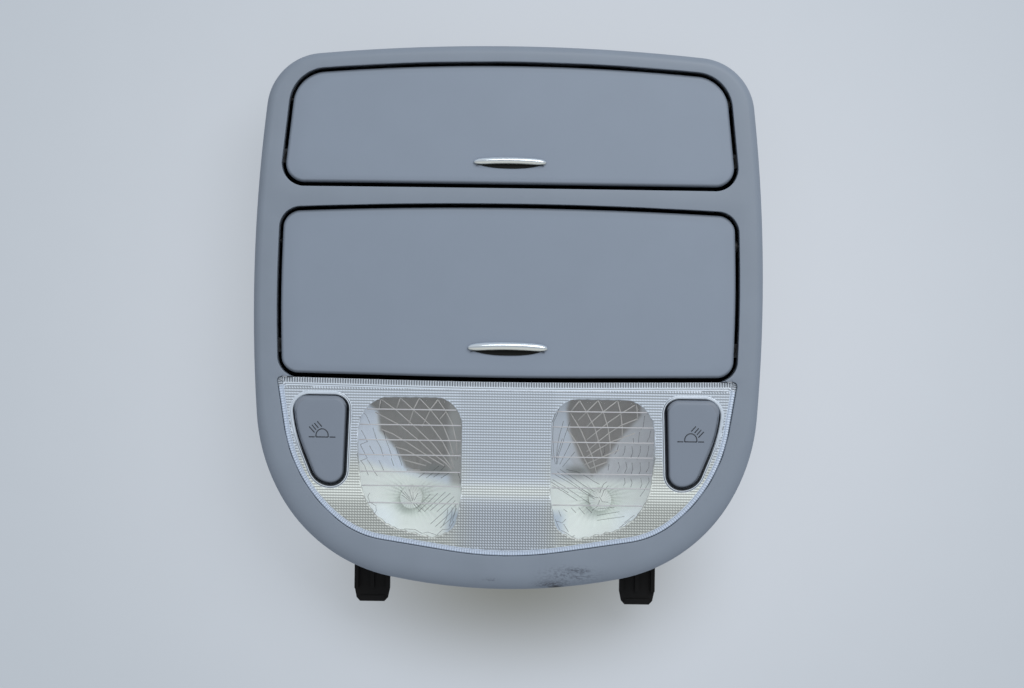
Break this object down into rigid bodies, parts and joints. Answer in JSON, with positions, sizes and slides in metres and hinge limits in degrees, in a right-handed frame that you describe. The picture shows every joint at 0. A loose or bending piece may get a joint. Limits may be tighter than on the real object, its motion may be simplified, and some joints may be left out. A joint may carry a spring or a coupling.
{
  "type": "car roof console with map lamps",
  "caption": "Overhead console for a car with two damped tilt-out storage bins, clear map-lamp lens and push keys.",
  "frame": {"origin": "middle of the bounding box's bottom face: the plane that the console lies on, back down", "axes": "+Z out of the console's face, +Y along its length towards the narrow upper door, +X to the right as the face is seen"},
  "size_m": [0.2254, 0.2496, 0.0527],
  "materials": {
    "shell_grey": "fine matt grain, grey-blue",
    "key_grey": "fine matt grain, a little darker",
    "tray_grey": "matt dark grey",
    "smoke_black": "matt black",
    "bright_trim": "bright plated",
    "steel": "zinc plated",
    "natural_plastic": "natural white acetal",
    "stop_rubber": "soft black",
    "clear_lens": "clear moulded, fine texture",
    "silvered": "vacuum silvered",
    "bulb_glass": "clear glass",
    "holder_white": "heat-proof off-white",
    "board_green": "coated board",
    "contact_brass": "tinned brass"
  },
  "bodies": {
    "console": {"bezel": "shell_grey", "upper_housing": "smoke_black", "upper_hinge_pins": "steel", "upper_door_spring": "steel", "upper_damper_body": "smoke_black", "upper_latch_body": "smoke_black", "upper_bump_stops": "stop_rubber", "lower_housing": "smoke_black", "lower_hinge_pins": "steel", "lower_door_spring": "steel", "lower_damper_body": "smoke_black", "lower_latch_body": "smoke_black", "lower_bump_stops": "stop_rubber", "lens": "clear_lens", "lamp_housing": "smoke_black", "left_reflector": "silvered", "right_reflector": "silvered", "left_bulb": "bulb_glass", "right_bulb": "bulb_glass", "left_bulb_holder": "holder_white", "right_bulb_holder": "holder_white", "circuit_board": "board_green", "left_switch_body": "smoke_black", "right_switch_body": "smoke_black", "connector_header": "smoke_black", "connector_pins": "contact_brass", "housing_screws": "steel", "lamp_screws": "steel", "board_screws": "steel"},
    "upper_bin": {"upper_door": "shell_grey", "upper_tray": "tray_grey", "upper_grip": "bright_trim", "upper_tray_screws": "steel"},
    "lower_bin": {"lower_door": "shell_grey", "lower_tray": "tray_grey", "lower_grip": "bright_trim", "lower_tray_screws": "steel"},
    "upper_gear": {"upper_damper_gear": "natural_plastic"},
    "lower_gear": {"lower_damper_gear": "natural_plastic"},
    "upper_fork": {"upper_latch_slider": "natural_plastic"},
    "lower_fork": {"lower_latch_slider": "natural_plastic"},
    "left_push": {"left_key": "key_grey", "left_switch_plunger": "natural_plastic"},
    "right_push": {"right_key": "key_grey", "right_switch_plunger": "natural_plastic"}
  },
  "joints": [
    {"name": "upper_door_hinge", "type": "hinge", "parent": "console", "child": "upper_bin", "pos_m": [0, 0.099, 0.0404], "axis": [-1, 0, 0], "range_deg": [0, 60]},
    {"name": "lower_door_hinge", "type": "hinge", "parent": "console", "child": "lower_bin", "pos_m": [0, 0.036, 0.042], "axis": [-1, 0, 0], "range_deg": [0, 60]},
    {"name": "upper_damper_spin", "type": "hinge", "parent": "console", "child": "upper_gear", "pos_m": [0.0925, 0.07934, 0.02663], "axis": [-1, 0, 0], "range_deg": [-180, 0]},
    {"name": "lower_damper_spin", "type": "hinge", "parent": "console", "child": "lower_gear", "pos_m": [0.0965, 0.01143, 0.02479], "axis": [-1, 0, 0], "range_deg": [-240, 0]},
    {"name": "upper_latch_push", "type": "slide", "parent": "console", "child": "upper_fork", "axis": [0, 0, -1], "range_m": [0, 0.0015], "stiffness_N_per_m": 300, "springref_m": -0.0005},
    {"name": "lower_latch_push", "type": "slide", "parent": "console", "child": "lower_fork", "axis": [0, 0, -1], "range_m": [0, 0.0015], "stiffness_N_per_m": 300, "springref_m": -0.0005},
    {"name": "left_key_push", "type": "slide", "parent": "console", "child": "left_push", "axis": [0, 0, -1], "range_m": [0, 0.002], "stiffness_N_per_m": 800, "springref_m": -0.0004},
    {"name": "right_key_push", "type": "slide", "parent": "console", "child": "right_push", "axis": [0, 0, -1], "range_m": [0, 0.002], "stiffness_N_per_m": 800, "springref_m": -0.0004}
  ],
  "couplings": [
    {"joint": "upper_damper_spin", "follows": "upper_door_hinge", "ratio": -3},
    {"joint": "lower_damper_spin", "follows": "lower_door_hinge", "ratio": -4}
  ]
}
